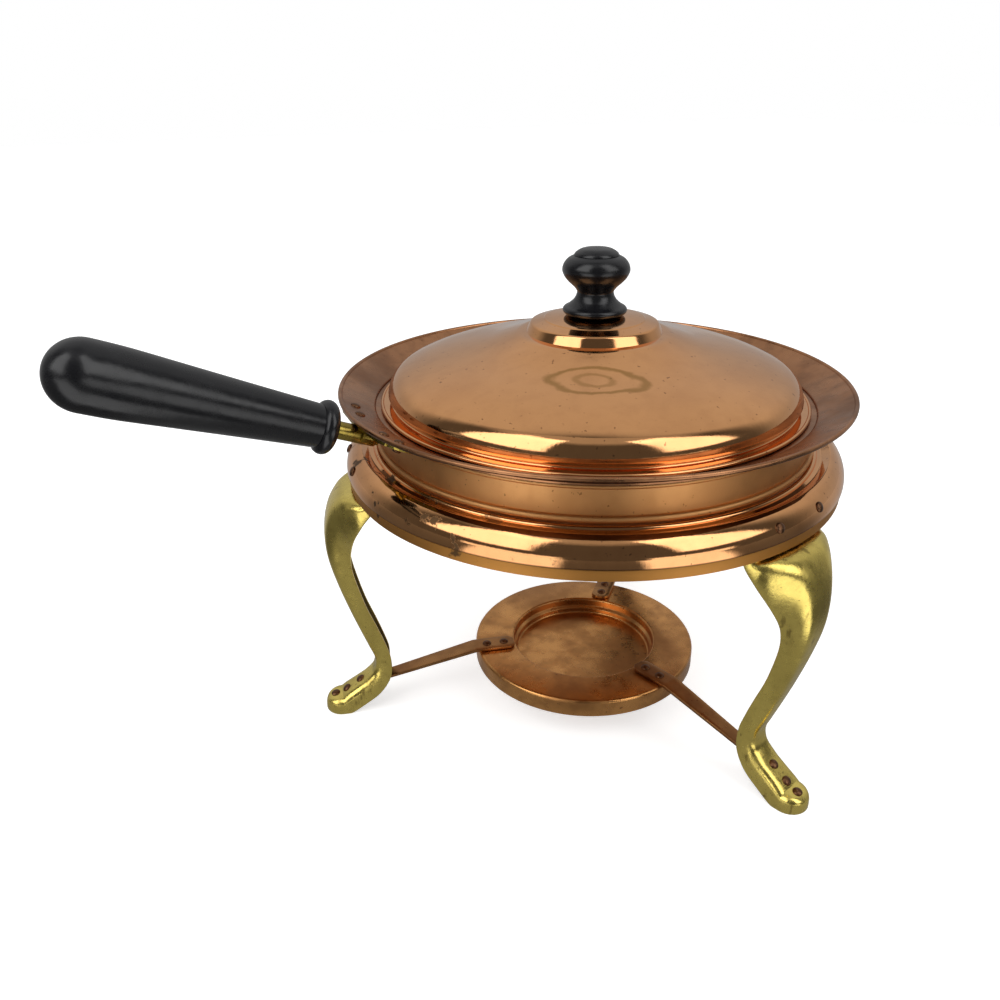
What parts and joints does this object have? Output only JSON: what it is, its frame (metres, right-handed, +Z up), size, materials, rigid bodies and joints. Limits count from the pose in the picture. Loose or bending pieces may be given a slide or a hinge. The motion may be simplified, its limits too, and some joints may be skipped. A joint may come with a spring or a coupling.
{
  "type": "chafing dish",
  "caption": "Round copper chafing dish: domed lift-off lid with a turned knob, handled food pan, water pan and a three-legged brass and copper stand with a burner tray.",
  "frame": {"origin": "middle of the bottom of the bounding box, on the surface that the feet stand on", "axes": "+Z up along the dish axis and out of the burner tray's recess, the handle points to -X, so X is the longest extent"},
  "size_m": [0.4102, 0.2984, 0.2702],
  "materials": {
    "copper": "polished spun copper with light tarnish",
    "dark_copper": "tarnished spun copper",
    "rivet": "dull dark copper",
    "brass": "polished brass with spots of tarnish",
    "black_wood": "black lacquered turned wood"
  },
  "bodies": {
    "stand": {"stand_ring": "copper", "burner_tray": "copper", "leg_1": "brass", "leg_2": "brass", "leg_3": "brass", "strap_1": "copper", "strap_2": "copper", "strap_3": "copper", "ring_rivet_1a": "rivet", "ring_rivet_1b": "rivet", "ring_rivet_2a": "rivet", "ring_rivet_2b": "rivet", "ring_rivet_3a": "rivet", "ring_rivet_3b": "rivet", "tray_rivet_1a": "rivet", "tray_rivet_1b": "rivet", "tray_rivet_2a": "rivet", "tray_rivet_2b": "rivet", "tray_rivet_3a": "rivet", "tray_rivet_3b": "rivet", "foot_rivet_1a": "rivet", "foot_rivet_1b": "rivet", "foot_rivet_1c": "rivet", "foot_rivet_2a": "rivet", "foot_rivet_2b": "rivet", "foot_rivet_2c": "rivet", "foot_rivet_3a": "rivet", "foot_rivet_3b": "rivet", "foot_rivet_3c": "rivet"},
    "water_pan": {"water_pan": "copper"},
    "food_pan": {"food_pan": "dark_copper", "handle_bracket": "brass", "handle_rod": "brass", "handle_grip": "black_wood", "rim_rivet_1": "rivet", "rim_rivet_2": "rivet", "rim_rivet_3": "rivet", "rim_rivet_4": "rivet"},
    "lid": {"lid": "copper", "lid_knob": "black_wood", "knob_washer": "brass", "knob_screw": "brass"}
  },
  "joints": [
    {"name": "water_pan_lift", "type": "slide", "parent": "stand", "child": "water_pan", "axis": [0, 0, 1], "range_m": [0, 0.06]},
    {"name": "food_pan_lift", "type": "slide", "parent": "water_pan", "child": "food_pan", "axis": [0, 0, 1], "range_m": [0, 0.07]},
    {"name": "lid_lift", "type": "slide", "parent": "food_pan", "child": "lid", "axis": [0, 0, 1], "range_m": [0, 0.08]}
  ]
}
